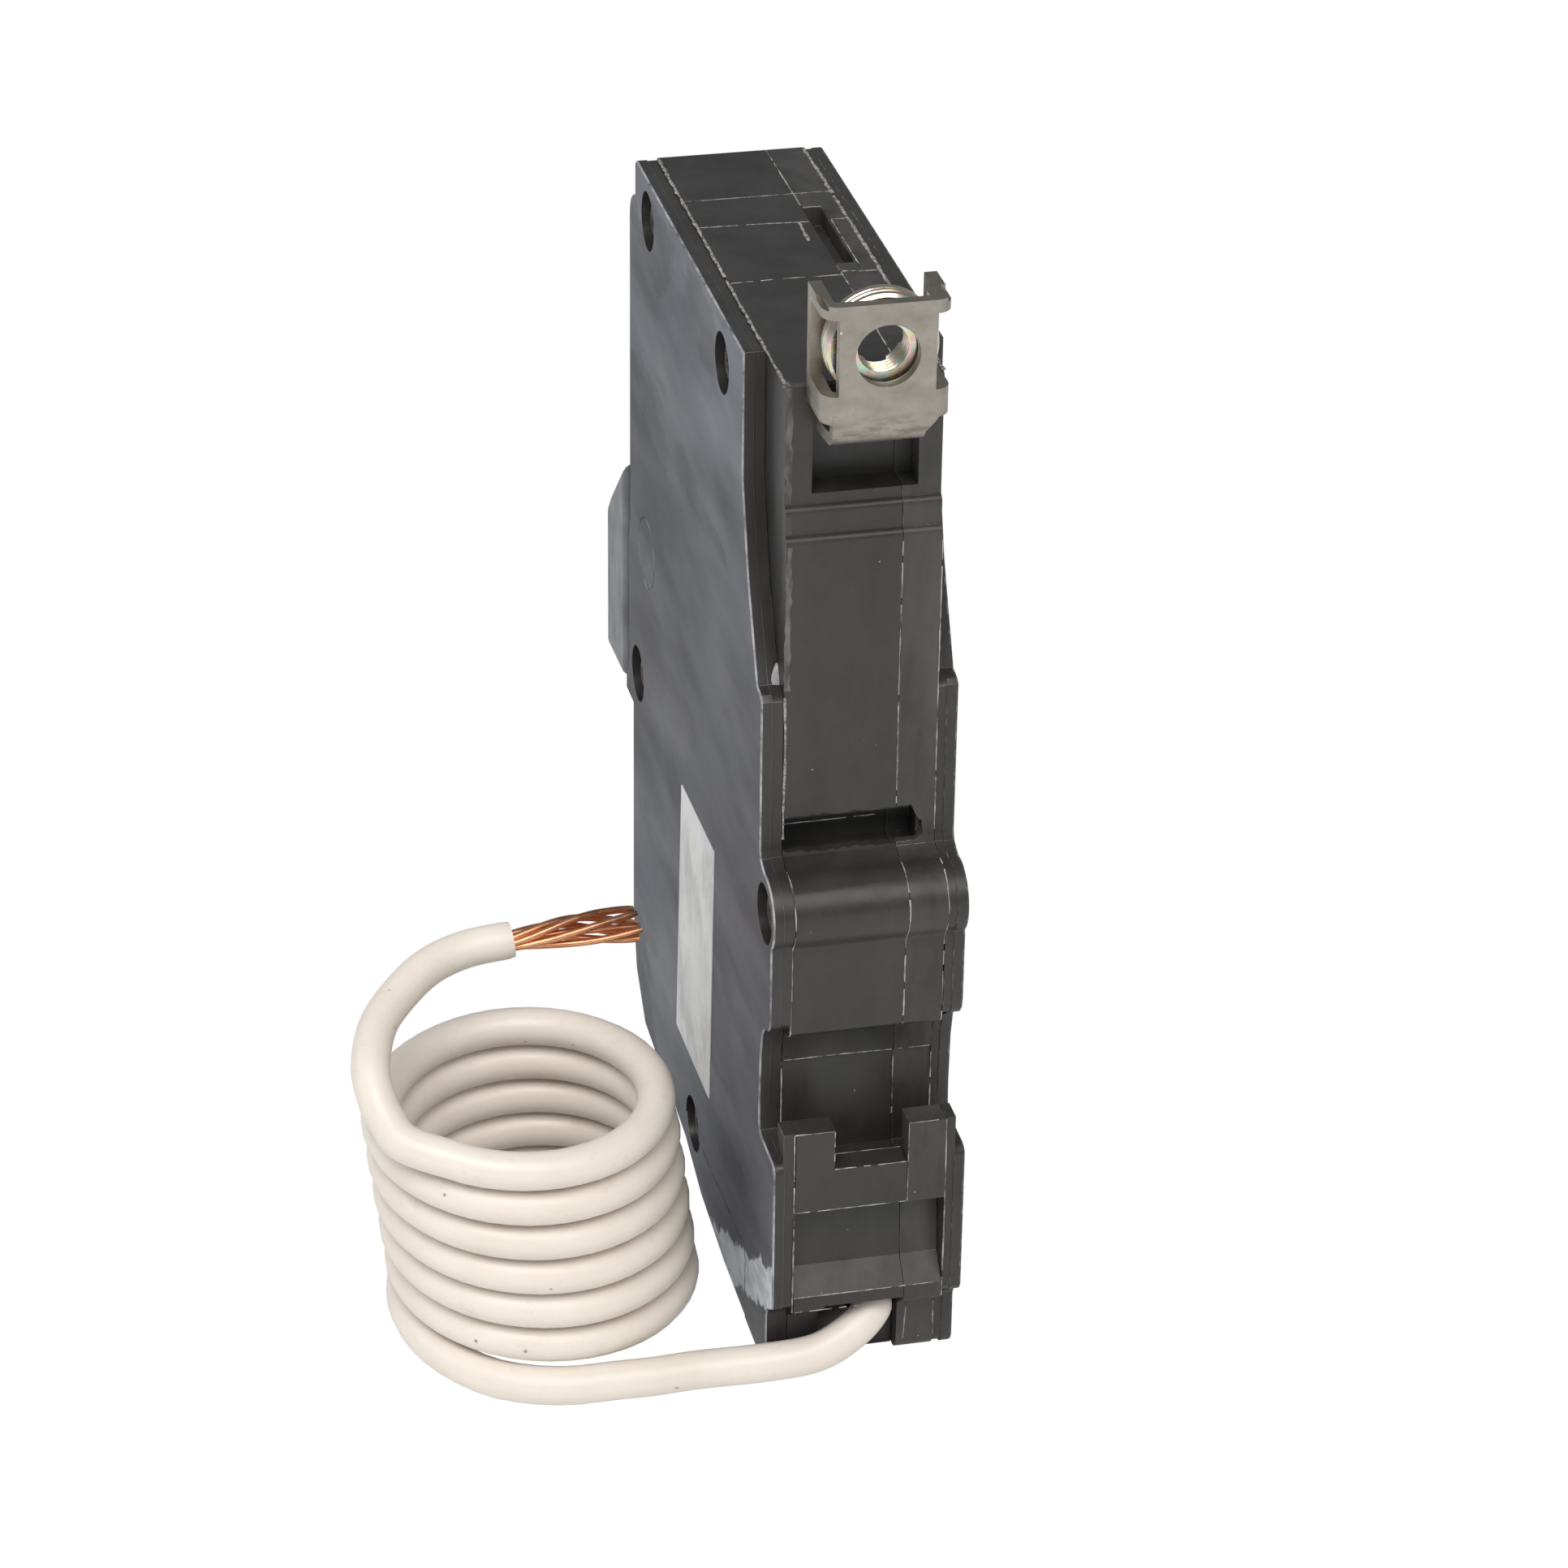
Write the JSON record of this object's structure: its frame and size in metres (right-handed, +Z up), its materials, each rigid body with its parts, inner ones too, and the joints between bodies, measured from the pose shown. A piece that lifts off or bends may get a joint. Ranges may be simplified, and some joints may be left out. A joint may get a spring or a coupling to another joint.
{
  "type": "gfci breaker",
  "caption": "Single-pole ground-fault circuit breaker with a bolt-on line terminal, tilting handle, test button, load lugs and a coiled neutral lead.",
  "frame": {"origin": "on the floor, under the middle of the breaker's bounding box without its lead", "axes": "+Z up from the load end to the line terminal, +Y from the mounting side to the handle, X through the thickness"},
  "size_m": [0.0573, 0.083, 0.1133],
  "materials": {
    "case": "moulded thermoset, near black, faint sheen, pale worn edges",
    "dark_plastic": "moulded, near black",
    "white_plastic": "moulded, off-white",
    "label": "blank light grey sticker, satin",
    "steel": "tin-plated steel sheet, dull and warm",
    "zinc": "zinc plate with yellow passivation",
    "silver": "silver alloy or tin plate",
    "brass": "plain brass",
    "copper": "bare copper",
    "insulation": "cream white thermoplastic wire insulation, satin",
    "tape": "amber winding tape",
    "board": "green printed circuit board",
    "blue_epoxy": "blue epoxy dip"
  },
  "bodies": {
    "case": {"left_cover": "case", "main_case": "case", "second_case": "case", "right_cover": "case", "side_label": "label", "rivet_1": "steel", "rivet_2": "steel", "rivet_3": "steel", "rivet_4": "steel", "rivet_5": "steel", "handle_pin": "steel", "line_clip": "steel", "fixed_contact": "silver", "arm_pin": "steel", "toggle_spring": "steel", "bimetal": "brass", "magnet_yoke": "steel", "calibration_screw": "brass", "lever_pin": "steel", "flexible_braid": "copper", "load_strap": "copper", "hot_lug": "brass", "neutral_lug": "silver", "sensing_toroid": "tape", "grounding_toroid": "tape", "hot_conductor": "copper", "neutral_conductor": "white_plastic", "circuit_board": "board", "sense_chip": "dark_plastic", "thyristor": "dark_plastic", "varistor": "blue_epoxy", "filter_capacitor": "silver", "test_resistor": "tape", "solenoid_frame": "steel", "solenoid_coil": "copper", "test_leaf": "brass", "lead_gland": "dark_plastic", "pigtail_lead": "insulation", "pigtail_coil": "insulation", "pigtail_strands": "copper"},
    "handle": {"handle": "dark_plastic"},
    "contact_arm": {"contact_arm": "copper", "moving_contact": "silver"},
    "line_nut": {"line_nut": "zinc"},
    "armature": {"armature": "steel"},
    "trip_lever": {"trip_lever": "steel"},
    "plunger": {"solenoid_plunger": "zinc"},
    "test_button": {"test_button": "white_plastic", "button_spring": "steel"},
    "hot_clamp": {"hot_clamp": "zinc"},
    "hot_screw": {"hot_screw": "zinc"},
    "neutral_clamp": {"neutral_clamp": "zinc"},
    "neutral_screw": {"neutral_screw": "zinc"}
  },
  "joints": [
    {"name": "handle_tilt", "type": "hinge", "parent": "case", "child": "handle", "pos_m": [0, 0.0066, 0.057], "axis": [1, 0, 0], "range_deg": [0, 17]},
    {"name": "contact_swing", "type": "hinge", "parent": "case", "child": "contact_arm", "pos_m": [0, -0.0154, 0.058], "axis": [1, 0, 0], "range_deg": [0, 10]},
    {"name": "line_nut_turn", "type": "hinge", "parent": "case", "child": "line_nut", "pos_m": [0.00045, -0.0354, 0.10795], "axis": [0, 1, 0], "continuous": true},
    {"name": "armature_pull", "type": "hinge", "parent": "case", "child": "armature", "pos_m": [-0.0019, -0.0007, 0.0306], "axis": [1, 0, 0], "range_deg": [0, 6], "stiffness_Nm_per_rad": 0.01, "springref_deg": -5.73},
    {"name": "trip_lever_lift", "type": "hinge", "parent": "case", "child": "trip_lever", "pos_m": [0, -0.0024, 0.0878], "axis": [1, 0, 0], "range_deg": [0, 8]},
    {"name": "plunger_stroke", "type": "slide", "parent": "case", "child": "plunger", "axis": [0, 0, 1], "range_m": [0, 0.002], "stiffness_N_per_m": 60, "springref_m": -0.002},
    {"name": "test_button_press", "type": "slide", "parent": "case", "child": "test_button", "axis": [0, -1, 0], "range_m": [0, 0.0015], "stiffness_N_per_m": 400, "springref_m": -0.001},
    {"name": "hot_clamp_slide", "type": "slide", "parent": "case", "child": "hot_clamp", "axis": [0, -1, 0], "range_m": [0, 0.002]},
    {"name": "hot_screw_turn", "type": "hinge", "parent": "hot_clamp", "child": "hot_screw", "pos_m": [-0.0022, 0.0171, 0.017], "axis": [0, -1, 0], "range_deg": [0, 1020]},
    {"name": "neutral_clamp_slide", "type": "slide", "parent": "case", "child": "neutral_clamp", "axis": [0, -1, 0], "range_m": [0, 0.002]},
    {"name": "neutral_screw_turn", "type": "hinge", "parent": "neutral_clamp", "child": "neutral_screw", "pos_m": [-0.0022, 0.0076, 0.033], "axis": [0, -1, 0], "range_deg": [0, 1020]}
  ],
  "couplings": [
    {"joint": "contact_swing", "follows": "handle_tilt", "ratio": 0.588},
    {"joint": "trip_lever_lift", "follows": "plunger_stroke", "rad_per_m": 69},
    {"joint": "hot_screw_turn", "follows": "hot_clamp_slide", "rad_per_m": 8900},
    {"joint": "neutral_screw_turn", "follows": "neutral_clamp_slide", "rad_per_m": 8900}
  ]
}
